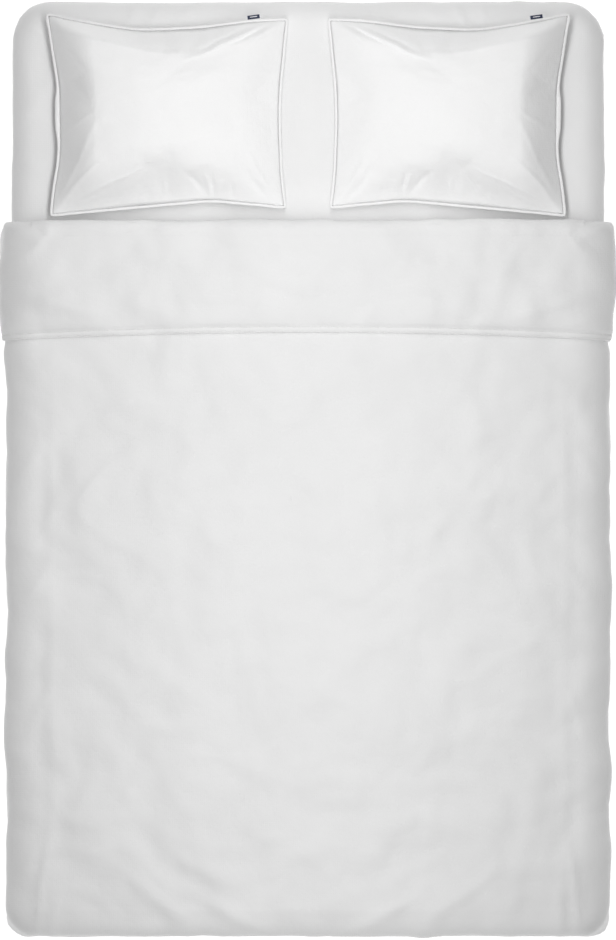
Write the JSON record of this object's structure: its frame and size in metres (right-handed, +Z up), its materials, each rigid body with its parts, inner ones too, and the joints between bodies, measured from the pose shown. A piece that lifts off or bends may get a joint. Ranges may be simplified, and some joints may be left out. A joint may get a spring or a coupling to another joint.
{
  "type": "duvet on a bed",
  "caption": "White duvet laid over a double mattress with a fitted sheet, its head end folded back below the pillows, hanging down both sides and hemmed at the foot.",
  "frame": {"origin": "middle of the mattress's underside, on the surface that it lies on", "axes": "+X across the bed to the right-hand pillow, +Y along it to its head, +Z up"},
  "size_m": [1.457, 2.2254, 0.4742],
  "materials": {
    "cover_cotton": "matte",
    "turned_cotton": "matte",
    "pillowcase_cotton": "matte",
    "sheet_cotton": "matte",
    "insert_cotton": "matte",
    "ticking": "matte",
    "tape": "matte",
    "foam": "matte",
    "spring_pockets": "matte",
    "navy_ribbon": "matte",
    "elastic": "matte",
    "button": "gloss"
  },
  "bodies": {
    "bed": {"fitted_sheet": "sheet_cotton", "fitted_sheet_elastic": "elastic", "mattress_base_foam": "foam", "mattress_comfort_foam": "foam", "mattress_spring_core": "spring_pockets", "mattress_tape_edge_lower": "tape", "mattress_tape_edge_upper": "tape", "mattress_ticking_base": "ticking", "mattress_ticking_border": "ticking", "mattress_ticking_top": "ticking", "topper_cover_base": "ticking", "topper_cover_top": "ticking", "topper_foam": "foam"},
    "duvet": {"duvet_cover_button_1": "button", "duvet_cover_button_2": "button", "duvet_cover_button_3": "button", "duvet_cover_button_4": "button", "duvet_cover_button_5": "button", "duvet_cover_button_6": "button", "duvet_cover_button_7": "button", "duvet_cover_foot_hem_under": "cover_cotton", "duvet_cover_foot_hem_upper": "cover_cotton", "duvet_cover_side_seam_left": "cover_cotton", "duvet_cover_side_seam_right": "cover_cotton", "duvet_cover_top": "cover_cotton", "duvet_cover_underside": "cover_cotton", "duvet_insert": "insert_cotton"},
    "turn_down": {"turn_down_head_hem": "turned_cotton", "turn_down_insert": "insert_cotton", "turn_down_lower": "cover_cotton", "turn_down_side_seam_left": "turned_cotton", "turn_down_side_seam_right": "turned_cotton", "turn_down_upper": "turned_cotton"},
    "pillow_left": {"pillow_left_case_back": "pillowcase_cotton", "pillow_left_case_flap": "pillowcase_cotton", "pillow_left_case_front": "pillowcase_cotton", "pillow_left_case_rim": "pillowcase_cotton", "pillow_left_inner": "insert_cotton"},
    "pillow_right": {"pillow_right_case_back": "pillowcase_cotton", "pillow_right_case_flap": "pillowcase_cotton", "pillow_right_case_front": "pillowcase_cotton", "pillow_right_case_rim": "pillowcase_cotton", "pillow_right_inner": "insert_cotton"},
    "label_left": {"pillow_left_label": "navy_ribbon"},
    "label_right": {"pillow_right_label": "navy_ribbon"}
  },
  "joints": [
    {"name": "duvet_lift", "type": "slide", "parent": "bed", "child": "duvet", "axis": [0, 0, 1], "range_m": [0, 0.35]},
    {"name": "turn_down_fold", "type": "hinge", "parent": "duvet", "child": "turn_down", "pos_m": [0, 0.5519, 0.36865], "axis": [-1, 0, 0], "range_deg": [0, 90]},
    {"name": "pillow_left_lift", "type": "slide", "parent": "bed", "child": "pillow_left", "axis": [0, 0, 1], "range_m": [0, 0.3]},
    {"name": "pillow_right_lift", "type": "slide", "parent": "bed", "child": "pillow_right", "axis": [0, 0, 1], "range_m": [0, 0.3]},
    {"name": "label_left_flip", "type": "hinge", "parent": "pillow_left", "child": "label_left", "pos_m": [-0.12814, 1.05773, 0.3761], "axis": [0.9914, 0.1306, 0], "range_deg": [-70, 70]},
    {"name": "label_right_flip", "type": "hinge", "parent": "pillow_right", "child": "label_right", "pos_m": [0.54086, 1.05773, 0.3761], "axis": [0.9914, 0.1306, 0], "range_deg": [-70, 70]}
  ]
}
